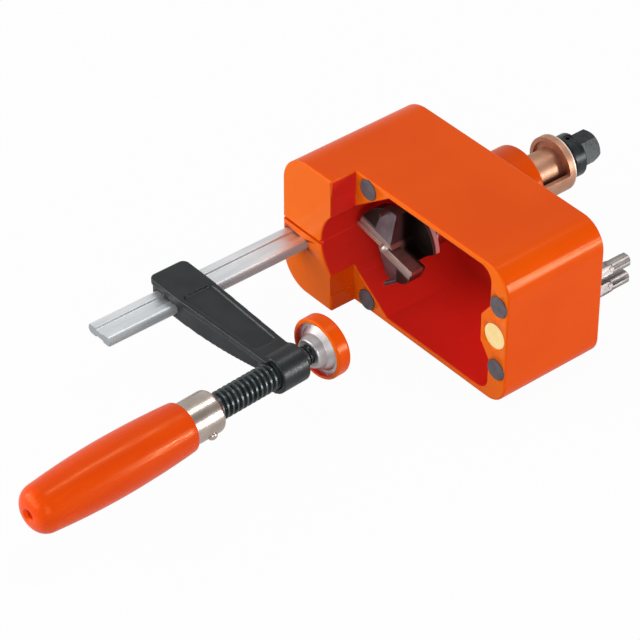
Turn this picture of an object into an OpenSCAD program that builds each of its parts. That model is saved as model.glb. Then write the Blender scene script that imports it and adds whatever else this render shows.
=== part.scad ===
// Drilling template for hinge cups: a clamp-on housing that guides a boring bit.
// Millimetres. Origin: where the drill axis meets the front work face.
// +X runs along the housing, +Y points away from the work, +Z is up.

/* [Housing] */
// From the drill axis to the left end of the housing
body_left = 45.6; // [44:0.2:56]
// From the drill axis to the right end of the housing
body_right = 78.5; // [78:0.5:95]
// Height of the housing
body_h = 66.6; // [66:0.2:80]
// Depth of the housing behind the front work face
body_d = 52; // [48:0.5:60]
// Corner radius at the top left
corner_tl = 16; // [4:0.5:17]
// Corner radius at the bottom left
corner_bl = 15; // [4:0.5:17]
// Corner radius at the top right
corner_tr = 12.5; // [4:0.5:13]
// Corner radius at the bottom right
corner_br = 10; // [4:0.5:13]

/* [Edge stop] */
// From the drill axis to the stop wall for the board edge
stop_x = 14.2; // [12:0.2:16]
// How far the left block stands in front of the work face
block_d = 12.7; // [8:0.1:16]
// Height of the relieved middle of the stop wall
relief_h = 51; // [40:0.5:58]
// Depth of the relief in the stop wall
relief_d = 0.6; // [0.3:0.1:1]
// Height of the centre mark cut in the block's front
mark_w = 1.5; // [0.8:0.1:2]
// Depth of the centre mark
mark_d = 1.6; // [0.8:0.1:2.4]
// Height of the centre mark's middle above the drill axis
mark_z = -1.5; // [-2:0.1:0]

/* [Drill chamber] */
// Radius of the clearance round the boring bit
nose_r = 20.9; // [20.5:0.1:22]
// Inside height of the chamber
chamber_h = 61; // [60:0.2:62]
// Where the slanted sides reach the full chamber height
slant_x = 6.5; // [2:0.5:12]
// Inside face of the right end wall
chamber_right = 68.2; // [66:0.1:69]
// Radius of the chamber's right corners
chamber_r = 6; // [3:0.5:8]
// Thickness of the back wall
back_wall = 6; // [4:0.5:8]
// Inner face of the thickening that holds the spare bits
bump_x = 63.2; // [60:0.1:64]
// Half height of the thickening's flat
bump_flat = 6.5; // [6:0.5:10]
// Half height of the thickening where it joins the wall
bump_root = 13.5; // [11:0.5:16]

/* [Spindle boss] */
// Outside diameter of the boss
boss_d = 33; // [32:0.5:38]
// Length of the boss behind the housing
boss_l = 27; // [24:0.5:32]
// Chamfer at the boss's end
boss_chamfer = 1; // [0.4:0.1:1.5]

/* [Feed sleeve] */
// Outside diameter of the bronze sleeve
sleeve_d = 16; // [15:0.1:17]
// How far the sleeve reaches into the chamber
sleeve_reach = 6; // [5:0.5:8]
// Feed travel, from rest to the depth stop
feed = 17; // [12:0.5:18]
// Diameter of the sleeve's flange
flange_d = 25.6; // [25:0.2:27]
// Thickness of the flange
flange_t = 4.5; // [3:0.5:8]
// Depth of the recess in the flange's front
flange_recess = 1.2; // [0.5:0.1:2]
// Width of the rim round that recess
flange_rim = 2; // [1.2:0.1:2.4]
// Inside diameter of the guide tongue
tongue_id = 21; // [20:0.1:22]
// Length of the guide tongue in front of the flange
tongue_l = 32; // [26:0.5:36]
// Angle of the tongue's middle, counted from +X towards +Z
tongue_mid = -50; // [-60:1:-40]
// Angle that the tongue spans
tongue_span = 110; // [80:1:120]
// Thickness of the retaining ring
clip_t = 1.2; // [1:0.1:1.5]
// Outside diameter of the retaining ring
clip_d = 21; // [19:0.2:23]
// Depth of the retaining ring's groove
clip_groove = 1; // [0.6:0.1:1.2]

/* [Spindle and drive] */
// Diameter of the spindle
spindle_d = 10; // [9:0.1:10.6]
// Diameter of the bit socket at the spindle's front
socket_d = 18; // [16.5:0.1:20]
// Length of the bit socket
socket_l = 14; // [12:0.5:16]
// Diameter of the bit's shank
shank_d = 8; // [7:0.1:9]
// Depth of the shank in the socket
shank_depth = 11; // [9:0.5:12]
// Thickness of each thrust washer
washer_t = 1.5; // [1:0.1:2]
// Diameter of the thrust washers
washer_d = 18; // [16.5:0.1:20]
// Diameter of the drive collar
collar_d = 19.6; // [19:0.1:23]
// Length of the drive collar
collar_l = 7; // [6:0.5:10]
// Width across the flats of the hex drive
hex_af = 13; // [12:0.1:15]
// Length of the hex drive
hex_l = 10.5; // [9:0.5:14]
// Thread diameter of the clamping set screws
set_screw_d = 4; // [3:0.1:4.5]

/* [Boring bit] */
// Cutting diameter of the boring bit
bit_d = 35; // [30:0.5:36]
// From the work face back to the cutting edges
bit_setback = 3.8; // [2.5:0.1:4.5]
// Depth of the bit's head behind the cutting edges
head_l = 15.4; // [14:0.2:17]
// How far the head's body is smaller than the cut
head_relief = 0.6; // [0.3:0.1:1]
// Depth of the cutter plates along the axis
cutter_l = 6; // [4:0.2:7]
// Thickness of the cutter plates
cutter_t = 2.2; // [1.6:0.1:2.6]
// How far a cutter plate's face stands ahead of the drill axis
cutter_lead = 1; // [0:0.1:1.2]
// Angle of the cutting line, counted from +X towards +Z
bit_angle = -11.5; // [-30:0.5:30]
// Angle of each chip gullet in the head's front
gullet_angle = 97; // [60:1:100]
// Angle of the straight edge above each chip exit, counted from the cutting line
exit_slope = 47; // [42:1:52]
// From the drill axis down to that edge
exit_drop = 9.3; // [8.6:0.1:10.2]
// Depth of the webs that carry the cutter plates
web_l = 8; // [7.5:0.1:10]
// Width of the land behind each cutting edge
land_w = 3; // [2.4:0.1:4]
// Slope of that land
land_slope = 4; // [2:1:6]
// Slope of the webs' front faces behind the lands
web_slope = 14; // [8:1:16]
// Where a web's wall starts, along the cutting line from the drill axis
web_foot = 2.7; // [2:0.1:3.4]
// Angle of the walls that join the webs to the head's back
wall_angle = 10; // [6:1:20]
// Thickness of the head's back behind the gullets
head_floor = 3.2; // [2.6:0.1:3.5]
// Diameter of the core between the gullets
core_d = 8.6; // [8.4:0.1:10]
// How far the spurs stand in front of the cutting edges
spur_h = 1.2; // [0.6:0.1:1.6]
// Angle between a web's far end and its spur
spur_set = 9; // [0:1:15]
// How far the centre point stands in front of the cutting edges
point_h = 2.2; // [1.4:0.1:2.4]
// Diameter of the centre point at its root
point_d = 4; // [3:0.1:5]

/* [Grip pads] */
// Diameter of the four grip pads
pad_d = 9.4; // [8:0.1:9.6]
// How far the pads stand out of the work face
pad_proud = 0.6; // [0.3:0.1:1.5]
// Depth of the pads' pockets
pad_depth = 2.4; // [1.5:0.1:3]
// Margin between a pad and the housing's edge
pad_margin = 0.4; // [0.2:0.1:1.5]
// The left pads, from the drill axis
pad_left_x = -6; // [-8:0.1:-5]
// Half the height between the right pads
pad_right_z = 15.8; // [14:0.1:18]
// Diameter of the sighting disc
disc_d = 11.6; // [10:0.1:12]
// Place of the sighting disc
disc_x = 71.6; // [70:0.1:72]

/* [Spare bits] */
// Width across the flats of the spare bits
spare_af = 6; // [5:0.05:6.35]
// Height between the two spare bits
spare_pitch = 8.4; // [8.2:0.1:10]
// Height of the spare bits' middle above the drill axis
spare_z = -0.7; // [-1.5:0.1:1]
// Place of the spare bits along the housing
spare_x = 71.4; // [71:0.1:73]
// Depth of the spare bits' pockets
spare_depth = 32; // [25:0.5:36]
// How far the spare bits stand out of the back
spare_out = 20.5; // [18:0.5:28]
// Length of the fluted tip
tip_l = 11; // [8:0.5:13]
// Diameter of the fluted tip
tip_d = 6.4; // [5:0.1:6.6]

/* [Clamp bar] */
// Width of the clamp bar
bar_w = 15; // [12:0.2:16]
// Thickness of the clamp bar
bar_t = 4.8; // [4:0.1:5.6]
// Width of the groove along each wide face
groove_w = 4.6; // [2:0.1:6]
// Depth of that groove
groove_d = 0.8; // [0.4:0.1:1]
// Thickness of the housing's wall beside the bar
bar_wall = 1.3; // [1:0.1:2.5]
// Height of the bar's middle above the drill axis
bar_z = -7.9; // [-9:0.1:-7]
// Free length of the bar in front of the block
bar_free = 102; // [98:0.5:140]
// Depth of the bar in the block
bar_depth = 40; // [30:0.5:44]
// Diameter of the pins that hold the bar
pin_d = 4; // [3:0.1:5]
// Spacing of those pins
pin_pitch = 18; // [12:0.5:22]

/* [Clamp arm] */
// From the block's front to the arm
arm_gap = 50.4; // [49:0.2:60]
// Length of the arm along the bar
arm_w = 18.8; // [16:0.2:22]
// Width of the arm where it meets the screw boss
arm_tip_w = 14.4; // [12:0.2:16]
// Height of the arm's top above the bar's middle
arm_above = 7.5; // [6:0.1:9]
// Depth of the arm's underside below the bar's middle
arm_below = 4.4; // [4:0.1:6]
// Thickness of the arm's top plate
plate_t = 3; // [2:0.1:3.5]
// How far the top plate overhangs the web
plate_lip = 0.8; // [0.4:0.1:1.5]
// Wall of the arm outside the bar
arm_wall = 3.2; // [2.5:0.1:5]
// Radius of the curve along the arm's outer side
arm_curve = 208; // [150:1:260]
// Depth of the bare panel in the arm's top
panel_d = 0.5; // [0.3:0.1:1]

/* [Clamp screw] */
// From the clamp bar's middle to the clamp screw's axis
throat = 63.2; // [58:0.2:80]
// Lean of the screw away from the bar at its handle end, which load on the arm takes up
screw_lean = 3; // [0:0.5:5]
// Outside diameter of the screw thread
screw_d = 11.8; // [10:0.1:12.5]
// Pitch of the screw thread
screw_pitch = 2.5; // [2:0.1:3]
// Depth of the thread
thread_depth = 1.2; // [0.8:0.1:1.5]
// Diameter of the boss round the screw
screw_boss_d = 16.6; // [16:0.2:21]
// From the arm's middle towards the work, to where the screw starts to lean
boss_shift = 3.2; // [0:0.1:4]
// Length of the boss from there towards the handle
boss_back_l = 8.25; // [7.5:0.05:11]
// Length of the boss from there towards the work
boss_front_l = 5.35; // [5:0.05:8]
// Thread showing between the boss and the handle
screw_free = 30.8; // [26:0.1:36]
// Diameter of the screw's neck
neck_d = 6; // [5:0.1:6.6]
// Diameter of the screw's ball end
ball_d = 9; // [8:0.1:9.4]

/* [Pressure pad] */
// Diameter of the pad's cap
cap_d = 27; // [26:0.2:32]
// Depth of the cap
cap_l = 7; // [6.8:0.2:10]
// Thickness of the cap's face
cap_face = 2; // [1.5:0.1:3]
// Wall of the cap round the plate
cap_wall = 1.4; // [1.2:0.1:2]
// Width of the lip that holds the plate
cap_lip = 0.4; // [0.3:0.1:1]
// Thickness of the pressure plate's disc
disc_t = 3.2; // [2.6:0.1:3.6]
// Diameter of the plate's hub at the ball
hub_d = 14; // [12.4:0.1:15]
// Diameter of the plate's hub where it meets the disc
hub_root_d = 19.6; // [17:0.1:20.4]
// Thickness of the neck ring
ring_t = 1; // [0.8:0.1:1.4]
// Diameter of the neck ring, and of the plain end of the screw behind it
ring_d = 8.6; // [8:0.1:9.2]
// Gap between the screw boss and the neck ring at rest
ring_gap = 4.1; // [3:0.1:5]
// From the neck ring to the middle of the ball
ball_reach = 4.6; // [4.4:0.1:6]
// How far the hub reaches back over the ball
hub_reach = 3.8; // [3.4:0.1:4]
// Play of the neck in the hub's mouth
mouth_play = 1; // [0.8:0.1:1.1]
// From the middle of the ball to the cap's open side
cap_set = 0.6; // [0:0.1:1]

/* [Handle] */
// Diameter of the ferrule
ferrule_d = 18.4; // [17.6:0.1:19.6]
// Length of the ferrule
ferrule_l = 15.2; // [14.8:0.1:18]
// Radius of the ferrule's rounded shoulder
ferrule_r = 2.4; // [1:0.1:3]
// Length of the wooden handle behind the ferrule
handle_l = 76.5; // [70:0.5:110]
// Largest diameter of the handle
handle_d = 24.2; // [23.4:0.2:30]
// Diameter of the handle at the ferrule
handle_neck_d = 21.4; // [20.6:0.2:23]
// Diameter of the handle's butt before it rounds off
handle_butt_d = 20.6; // [18:0.2:23]
// Radius that rounds off the butt
butt_r = 7; // [4:0.5:7.5]
// From the ferrule to the handle's fullest place
handle_full = 34.5; // [25:0.5:45]
// Diameter of the small hole in the butt
butt_hole_d = 4; // [2:0.1:5]
// Diameter of the screw's tang in the handle
tang_d = 8; // [6:0.1:9]
// Diameter of the rivet through the ferrule
ferrule_pin_d = 4.2; // [3:0.1:4.6]
// Angle of that rivet, counted from +X towards +Z
ferrule_pin_angle = -31; // [-90:1:0]

/* [Clearances] */
// Radial clearance of turning and sliding fits
running = 0.05; // [0.02:0.01:0.09]
// Radial clearance of pieces that are fixed together
seated = 0.02; // [0.01:0.01:0.05]
// Clearance of loose guides and of the thread
loose = 0.3; // [0.2:0.05:0.5]
// End float of the spindle in its sleeve
end_float = 0.1; // [0.05:0.01:0.2]

/* [Hidden] */
$fn = 64;
eps = 0.01;
over = 1;

orange = "#E0561A";
charcoal = "#24282A";
steel = "#C9CDD2";
dark_steel = "#5B5552";
bronze = "#BE8C64";

half_h = body_h / 2;
nose_z = sqrt(nose_r * nose_r - stop_x * stop_x);
chamber_back = body_d - back_wall;
boss_end = body_d + boss_l;
pad_z = half_h - pad_d / 2 - pad_margin;
pad_right_x = body_right - pad_d / 2 - pad_margin;

sleeve_front = chamber_back - sleeve_reach;
flange_front = boss_end + feed + loose;
flange_back = flange_front + flange_t;
clip_back = chamber_back - eps;
bush_d = spindle_d + 2 * running;

socket_back = sleeve_front - washer_t - end_float;
socket_front = socket_back - socket_l;
collar_front = flange_back + washer_t + end_float;
collar_back = collar_front + collar_l;
drive_end = collar_back + hex_l;
drive_wall = 3;
spindle_end = drive_end - drive_wall;
drive_screw_y = collar_front + collar_l / 2;
bit_screw_y = socket_front + socket_l / 2;

head_back = bit_setback + head_l;
head_d = bit_d - 2 * head_relief;
cutter_back = bit_setback + cutter_l;
web_back = bit_setback + web_l;
web_end = gullet_angle - 180;

spare_tip = body_d + spare_out;
spare_end = body_d - spare_depth;
spare_corner_d = spare_af / cos(30);

block_front = -block_d;
bar_x = -body_left + bar_wall + bar_w / 2;
bar_tip = block_front - bar_free;
bar_end = block_front + bar_depth;
pin_over = 1.5;
pin_sunk = 1;

arm_far = block_front - arm_gap;
arm_near = arm_far - arm_w;
arm_mid = (arm_far + arm_near) / 2;
arm_left = bar_x - bar_w / 2 - arm_wall;
arm_top = bar_z + arm_above;
arm_low = bar_z - arm_below;
bar_right = bar_x + bar_w / 2;

screw_x = bar_x + throat;
boss_mid = arm_mid + boss_shift;
boss_far = boss_mid + boss_front_l;
boss_near = boss_mid - boss_back_l;
ferrule_front = boss_near - screw_free;
ferrule_back = ferrule_front - ferrule_l;
butt = ferrule_back - handle_l;
handle_socket = 12;
tang_end = ferrule_back - handle_l / 2;
ferrule_wall = 1.2;
ferrule_bore_d = ferrule_d - 2 * ferrule_wall;
butt_hole_depth = 4;
pin_set = 0.4;

ring_back = boss_far + ring_gap;
ring_front = ring_back + ring_t;
ball_y = ring_front + ball_reach;
hub_back = ball_y - hub_reach;
cap_back = ball_y + cap_set;
cap_front = cap_back + cap_l;
disc_front = cap_front - cap_face;
disc_back = disc_front - disc_t;
cap_seat_d = cap_d - 2 * cap_wall;

// A flat outline in X and Z, extruded along Y
module along_y(from, to) {
    translate([0, to, 0])
        rotate([90, 0, 0])
            linear_extrude(to - from)
                children();
}

// A flat outline in X and Y, extruded along Z
module along_z(from, to) {
    translate([0, 0, from])
        linear_extrude(to - from)
            children();
}

// A round bar along Y
module rod_y(d, from, to) {
    translate([0, to, 0])
        rotate([90, 0, 0])
            cylinder(d = d, h = to - from);
}

// A turned shape about the Y axis, from an outline of radius and Y
module turned(points) {
    rotate([-90, 0, 0])
        rotate_extrude()
            polygon(points);
}

// A round bar that points away from the Y axis, at an angle in X and Z
module radial_rod(d, angle, from, to) {
    rotate([0, -angle, 0])
        translate([from, 0, 0])
            rotate([0, 90, 0])
                cylinder(d = d, h = to - from);
}

// What a rounded corner takes off a square one; sx and sz point into the body
module corner_waste(x, z, r, sx, sz) {
    difference() {
        translate([x - (sx > 0 ? over : r), z - (sz > 0 ? over : r)])
            square(r + over);
        translate([x + sx * r, z + sz * r])
            circle(r);
    }
}

// A pie slice in X and Z, from one angle to another, less than 180 degrees apart
module slice(r, from, to) {
    far = r / cos((to - from) / 2);
    polygon([
        [0, 0],
        [far * cos(from), far * sin(from)],
        [far * cos((from + to) / 2), far * sin((from + to) / 2)],
        [far * cos(to), far * sin(to)]
    ]);
}

module housing_outline() {
    difference() {
        translate([-body_left, -half_h])
            square([body_left + body_right, body_h]);
        corner_waste(-body_left, half_h, corner_tl, 1, -1);
        corner_waste(-body_left, -half_h, corner_bl, 1, 1);
        corner_waste(body_right, half_h, corner_tr, -1, -1);
        corner_waste(body_right, -half_h, corner_br, -1, 1);
    }
}

module block_outline() {
    intersection() {
        housing_outline();
        translate([-body_left, -half_h])
            square([body_left - stop_x, body_h]);
    }
}

module chamber_outline() {
    difference() {
        polygon([
            [-stop_x, nose_z],
            [slant_x, chamber_h / 2],
            [chamber_right, chamber_h / 2],
            [chamber_right, bump_root],
            [bump_x, bump_flat],
            [bump_x, -bump_flat],
            [chamber_right, -bump_root],
            [chamber_right, -chamber_h / 2],
            [slant_x, -chamber_h / 2],
            [-stop_x, -nose_z]
        ]);
        corner_waste(chamber_right, chamber_h / 2, chamber_r, -1, -1);
        corner_waste(chamber_right, -chamber_h / 2, chamber_r, -1, 1);
    }
}

// The part of a ring that the guide tongue fills, with room all round it
module tongue_outline(room) {
    margin = asin(room / (flange_d / 2));
    intersection() {
        difference() {
            circle(d = flange_d + 2 * room);
            circle(d = tongue_id - 2 * room);
        }
        slice(
            flange_d,
            tongue_mid - tongue_span / 2 - margin,
            tongue_mid + tongue_span / 2 + margin
        );
    }
}

module bar_outline(room) {
    r = bar_t / 2 + room;
    for (side = [-1, 1])
        translate([bar_x + side * (bar_w - bar_t) / 2, bar_z])
            circle(r);
    translate([bar_x - (bar_w - bar_t) / 2, bar_z - r])
        square([bar_w - bar_t, 2 * r]);
}

module at_pads() {
    for (side = [-1, 1]) {
        translate([pad_left_x, 0, side * pad_z])
            children();
        translate([pad_right_x, 0, side * pad_right_z])
            children();
    }
}

module at_spares() {
    for (side = [-1, 1])
        translate([spare_x, 0, spare_z + side * spare_pitch / 2])
            children();
}

module at_bar_pins() {
    for (side = [-1, 1])
        translate([bar_x, block_front + bar_depth / 2 + side * pin_pitch / 2, 0])
            children();
}

module housing() {
    pin_top = bar_z + bar_t / 2 + pin_over + over / 2;
    color(orange)
        difference() {
            union() {
                along_y(0, body_d) housing_outline();
                along_y(block_front, over) block_outline();
                turned([
                    [0, chamber_back + over],
                    [boss_d / 2, chamber_back + over],
                    [boss_d / 2, boss_end - boss_chamfer],
                    [boss_d / 2 - boss_chamfer, boss_end],
                    [0, boss_end]
                ]);
            }
            along_y(-over, chamber_back) chamber_outline();
            rod_y(2 * nose_r, block_front - over, chamber_back);
            translate([-stop_x - relief_d, block_front - over, -relief_h / 2])
                cube([relief_d + over, block_d + over, relief_h]);
            translate([-body_left - over, block_front - over, mark_z - mark_w / 2])
                cube([body_left, mark_d + over, mark_w]);
            rod_y(sleeve_d + 2 * running, chamber_back - over, boss_end + over);
            along_y(flange_front - tongue_l - feed - 2 * loose, boss_end + over)
                tongue_outline(loose);
            along_y(block_front - over, bar_end) bar_outline(seated);
            at_bar_pins()
                translate([0, 0, -half_h - over])
                    cylinder(d = pin_d + 2 * seated, h = half_h + over + pin_top);
            at_pads() rod_y(pad_d + 2 * seated, -over, pad_depth);
            translate([disc_x, 0, 0]) rod_y(disc_d + 2 * seated, -over, pad_depth);
            at_spares() rod_y(spare_corner_d + 2 * loose, spare_end, body_d + over);
        }
}

module grip_pads() {
    color("#69646A")
        at_pads()
            rod_y(pad_d, -pad_proud, pad_depth);
}

module sighting_disc() {
    color("#FFEBAF")
        translate([disc_x, 0, 0])
            rod_y(disc_d, 0, pad_depth);
}

module clamp_bar() {
    color(steel)
        difference() {
            along_y(bar_tip, bar_end)
                difference() {
                    bar_outline(0);
                    for (side = [-1, 1])
                        translate([bar_x, bar_z + side * bar_t / 2])
                            square([groove_w, 2 * groove_d], center = true);
                }
            at_bar_pins()
                translate([0, 0, bar_z - bar_t])
                    cylinder(d = pin_d + 2 * seated, h = 2 * bar_t);
        }
}

module bar_pins() {
    pin_low = -half_h + pin_sunk;
    pin_high = bar_z + bar_t / 2 + pin_over;
    color(dark_steel)
        at_bar_pins()
            translate([0, 0, pin_low])
                cylinder(d = pin_d, h = pin_high - pin_low);
}

module feed_sleeve() {
    edge = 1;
    groove_back = clip_back;
    color(bronze)
        difference() {
            union() {
                rod_y(sleeve_d, sleeve_front, flange_back);
                turned([
                    [0, flange_front + flange_recess],
                    [flange_d / 2 - flange_rim, flange_front + flange_recess],
                    [flange_d / 2 - flange_rim, flange_front],
                    [flange_d / 2, flange_front],
                    [flange_d / 2, flange_back - edge],
                    [flange_d / 2 - edge, flange_back],
                    [0, flange_back]
                ]);
                along_y(flange_front - tongue_l, flange_front + flange_recess + over)
                    tongue_outline(0);
            }
            rod_y(bush_d, sleeve_front - over, flange_back + over);
            difference() {
                rod_y(sleeve_d + over, groove_back - clip_t - eps, groove_back + eps);
                rod_y(sleeve_d - 2 * clip_groove, groove_back - clip_t - over, groove_back + over);
            }
        }
}

module retaining_ring() {
    mouth = 50;
    mouth_at = 90;
    color(dark_steel)
        difference() {
            rod_y(clip_d, clip_back - clip_t, clip_back);
            rod_y(sleeve_d - 2 * clip_groove + 2 * seated, clip_back - clip_t - over, clip_back + over);
            along_y(clip_back - clip_t - over, clip_back + over)
                slice(clip_d, mouth_at - mouth / 2, mouth_at + mouth / 2);
        }
}

module spindle() {
    edge = 1;
    shank_room = 0.5;
    screw_bite = 1;
    color(steel)
        difference() {
            union() {
                rod_y(spindle_d, socket_back - over, spindle_end);
                turned([
                    [0, socket_front],
                    [socket_d / 2 - edge, socket_front],
                    [socket_d / 2, socket_front + edge],
                    [socket_d / 2, socket_back],
                    [0, socket_back]
                ]);
            }
            rod_y(shank_d + 2 * seated, socket_front - over, socket_front + shank_depth + shank_room);
            translate([0, bit_screw_y, 0])
                radial_rod(set_screw_d + 2 * seated, 0, 0, socket_d);
            translate([0, drive_screw_y, 0])
                radial_rod(set_screw_d + 2 * seated, 90, spindle_d / 2 - screw_bite, spindle_d);
        }
}

module thrust_washer(front) {
    difference() {
        rod_y(washer_d, front, front + washer_t);
        rod_y(spindle_d + 2 * seated, front - over, front + washer_t + over);
    }
}

module front_washer() {
    color(steel)
        thrust_washer(socket_back);
}

module rear_washer() {
    color(steel)
        thrust_washer(collar_front - washer_t);
}

module hex_drive() {
    corner_r = hex_af / 2 / cos(30);
    edge = 0.8;
    round_r = 1.6;
    round_l = 1.2;
    color(charcoal)
        difference() {
            union() {
                turned([
                    [0, collar_front],
                    [collar_d / 2 - edge, collar_front],
                    [collar_d / 2, collar_front + edge],
                    [collar_d / 2, collar_back - edge],
                    [collar_d / 2 - edge, collar_back],
                    [0, collar_back]
                ]);
                intersection() {
                    along_y(collar_back - over, drive_end)
                        circle(corner_r, $fn = 6);
                    turned([
                        [0, collar_back - over],
                        [corner_r, collar_back - over],
                        [corner_r, drive_end - round_l],
                        [corner_r - round_r, drive_end],
                        [0, drive_end]
                    ]);
                }
            }
            rod_y(spindle_d + 2 * seated, collar_front - over, spindle_end);
            translate([0, drive_screw_y, 0])
                radial_rod(set_screw_d + 2 * seated, 90, 0, collar_d);
        }
}

// A headless screw with a hexagon socket, pointing away from the drill axis
module set_screw(y, angle, from, to) {
    socket_r = 1.1;
    socket_depth = 2;
    translate([0, y, 0])
        difference() {
            radial_rod(set_screw_d, angle, from, to);
            rotate([0, -angle, 0])
                translate([to - socket_depth, 0, 0])
                    rotate([0, 90, 0])
                        cylinder(r = socket_r, h = socket_depth + over, $fn = 6);
        }
}

module drive_set_screw() {
    bite = 0.9;
    sunk = 0.4;
    color(dark_steel)
        set_screw(drive_screw_y, 90, spindle_d / 2 - bite, collar_d / 2 - sunk);
}

module bit_set_screw() {
    sunk = 0.3;
    color(dark_steel)
        set_screw(bit_screw_y, 0, shank_d / 2 + seated, socket_d / 2 - sunk);
}

// One half of what repeats about the drill axis
module both_sides() {
    for (turn = [0, 180])
        rotate([0, -bit_angle - turn, 0])
            children();
}

// What is taken off in front of the land and the sloped face behind a cutting edge
module web_waste() {
    step = land_w * tan(land_slope);
    for (cut = [[0, 0, land_slope], [step, land_w, web_slope]])
        translate([0, bit_setback + cut[0], -cut[1]])
            rotate([cut[2], 0, 0])
                translate([-bit_d, -bit_d, -bit_d])
                    cube([2 * bit_d, bit_d, bit_d + cut[1]]);
}

// A scoring spur at the far end of a web
module spur() {
    spur_t = 1.6;
    spur_w = 4.5;
    tip_w = 0.4;
    rooted = 1;
    spur_root = web_back - rooted;
    spur_tip = bit_setback - spur_h;
    intersection() {
        difference() {
            rod_y(bit_d, spur_tip, spur_root);
            rod_y(bit_d - 2 * spur_t, spur_tip - over, spur_root + over);
        }
        rotate([0, 90 - web_end - spur_set, 0])
            linear_extrude(bit_d)
                polygon([[0, spur_root], [0, spur_tip], [-tip_w, spur_tip], [-spur_w, spur_root]]);
    }
}

// The space above a cutter plate where chips gather, and their way out behind it
module gullet() {
    past = gullet_angle + 15;
    wall_end = [bit_d * cos(gullet_angle), bit_d * sin(gullet_angle)];
    difference() {
        union() {
            along_y(bit_setback - 2 * over, head_back - head_floor)
                slice(bit_d, 0, gullet_angle);
            along_y(web_back, head_back + over)
                difference() {
                    slice(bit_d, web_end + wall_angle, exit_slope);
                    rotate(exit_slope)
                        translate([-bit_d, -exit_drop])
                            square(2 * bit_d);
                }
        }
        rod_y(core_d, bit_setback - 3 * over, head_back + 2 * over);
        along_y(bit_setback - 3 * over, head_back + 2 * over)
            polygon([[0, 0], [web_foot, land_w], wall_end, [bit_d * cos(past), bit_d * sin(past)]]);
    }
}

module bit_body() {
    front_gap = 0.4;
    color(dark_steel)
        difference() {
            union() {
                rod_y(shank_d, head_back - over, socket_front + shank_depth);
                difference() {
                    rod_y(head_d, bit_setback + front_gap, head_back);
                    both_sides() web_waste();
                }
                both_sides() spur();
            }
            both_sides() gullet();
            both_sides()
                translate([point_d / 2 - eps, bit_setback - over, cutter_lead - cutter_t - eps])
                    cube([bit_d, cutter_l + over + eps, cutter_t + over]);
            rod_y(point_d + 2 * seated, bit_setback - over, cutter_back);
        }
}

module bit_cutters() {
    color("#8C8079")
        both_sides()
            intersection() {
                rod_y(bit_d, bit_setback, cutter_back);
                translate([point_d / 2 + seated, bit_setback, cutter_lead - cutter_t])
                    cube([bit_d, cutter_l, cutter_t]);
            }
}

module centre_point() {
    tip_root = 0.4;
    end_gap = 0.5;
    color("#9A918A")
        turned([
            [0, bit_setback - point_h],
            [point_d / 2, bit_setback + tip_root],
            [point_d / 2, cutter_back - end_gap],
            [0, cutter_back - end_gap]
        ]);
}

// A hexagon bit with a four-fluted tip, lying along Y
module spare_bit() {
    neck_y = spare_tip - tip_l;
    flute_r = tip_d / 4;
    tip_bevel = tip_d / 6;
    shoulder = 1;
    color(steel)
        difference() {
            union() {
                along_y(spare_end + loose, neck_y)
                    circle(d = spare_corner_d, $fn = 6);
                turned([
                    [0, neck_y - over],
                    [tip_d / 2, neck_y - over],
                    [tip_d / 2, spare_tip - tip_bevel],
                    [tip_d / 2 - tip_bevel, spare_tip],
                    [0, spare_tip]
                ]);
            }
            for (turn = [45:90:315])
                rotate([0, turn, 0])
                    translate([tip_d / 2 + flute_r / 3, 0, 0])
                        rod_y(2 * flute_r, neck_y + shoulder, spare_tip + over);
        }
}

module spare_bit_upper() {
    translate([spare_x, 0, spare_z + spare_pitch / 2])
        spare_bit();
}

module spare_bit_lower() {
    translate([spare_x, 0, spare_z - spare_pitch / 2])
        spare_bit();
}

// Places a piece that is drawn along the Y axis on the leaning screw's axis
module at_screw() {
    translate([screw_x, boss_mid, bar_z])
        rotate([0, 0, screw_lean])
            translate([0, -boss_mid, 0])
                children();
}

module arm_plate_outline() {
    lean = (arm_w - arm_tip_w) / 2;
    difference() {
        polygon([
            [arm_left, arm_near],
            [bar_right, arm_near],
            [screw_x, arm_near + lean],
            [screw_x, arm_far - lean],
            [bar_right, arm_far],
            [arm_left, arm_far]
        ]);
        corner_waste(arm_left, arm_near, arm_wall, 1, 1);
        corner_waste(arm_left, arm_far, arm_wall, 1, -1);
    }
}

module arm_web_outline() {
    lean = (arm_w - arm_tip_w) / 2;
    intersection() {
        polygon([
            [arm_left + plate_lip, arm_near + plate_lip],
            [screw_x, arm_near + plate_lip],
            [screw_x, arm_far - lean - plate_lip],
            [bar_right, arm_far - plate_lip],
            [arm_left + plate_lip, arm_far - plate_lip]
        ]);
        translate([bar_right, arm_near + plate_lip + arm_curve])
            circle(arm_curve, $fn = 256);
    }
}

module clamp_arm() {
    panel_margin = 2;
    panel_w = arm_tip_w - 2 * panel_margin;
    panel_l = throat - bar_w / 2 - screw_boss_d / 2 - 4 * panel_margin;
    color(charcoal)
        difference() {
            union() {
                along_z(arm_top - plate_t, arm_top) arm_plate_outline();
                along_z(arm_low, arm_top - plate_t + eps) arm_web_outline();
                at_screw() rod_y(screw_boss_d, boss_near, boss_far);
            }
            at_screw() rod_y(screw_d + 2 * loose, boss_near - arm_w, boss_far + arm_w);
            along_y(arm_near - over, arm_far + over) bar_outline(loose);
            translate([bar_right + 2 * panel_margin, arm_mid - panel_w / 2, arm_top - panel_d])
                cube([panel_l, panel_w, panel_d + over]);
        }
}

module neck_ring() {
    color(steel)
        at_screw()
            difference() {
                rod_y(ring_d, ring_back, ring_front);
                rod_y(neck_d + 2 * running, ring_back - over, ring_front + over);
            }
}

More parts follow.
